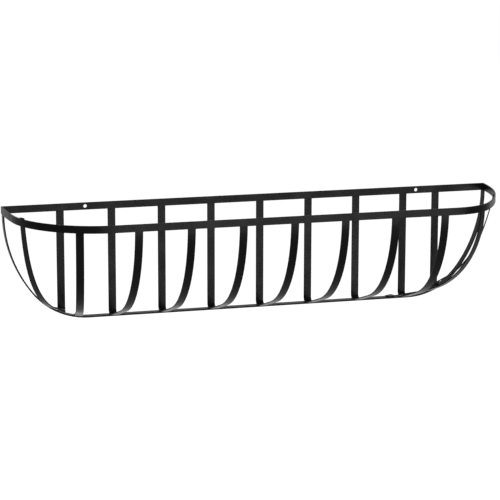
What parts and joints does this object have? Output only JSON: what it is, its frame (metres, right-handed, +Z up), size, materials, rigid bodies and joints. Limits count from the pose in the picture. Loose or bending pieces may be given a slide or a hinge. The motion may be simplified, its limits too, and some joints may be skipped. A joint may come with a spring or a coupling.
{
  "type": "window box planter rack",
  "caption": "Wall-hung trough rack of black flat steel bar for a window box planter, with a straight back rail, D-shaped rim, curved ribs and a bottom band.",
  "frame": {"origin": "midway between the two screw holes, on the wall plane behind the back rail", "axes": "+X along the back rail, -Y out from the wall to the front rim, +Z up"},
  "size_m": [0.914, 0.227, 0.211],
  "materials": {
    "coated_steel": "satin black powder coat"
  },
  "bodies": {
    "root": {"back_rail": "coated_steel", "front_rim": "coated_steel", "bottom_band": "coated_steel", "cross_rib_1": "coated_steel", "cross_rib_2": "coated_steel", "cross_rib_3": "coated_steel", "cross_rib_4": "coated_steel", "cross_rib_5": "coated_steel", "cross_rib_6": "coated_steel", "cross_rib_7": "coated_steel", "corner_rib_left": "coated_steel", "corner_rib_right": "coated_steel", "fan_rib_left": "coated_steel", "fan_rib_right": "coated_steel", "welds_rail": "coated_steel", "welds_rim": "coated_steel", "welds_band": "coated_steel", "welds_corner": "coated_steel"}
  },
  "joints": []
}
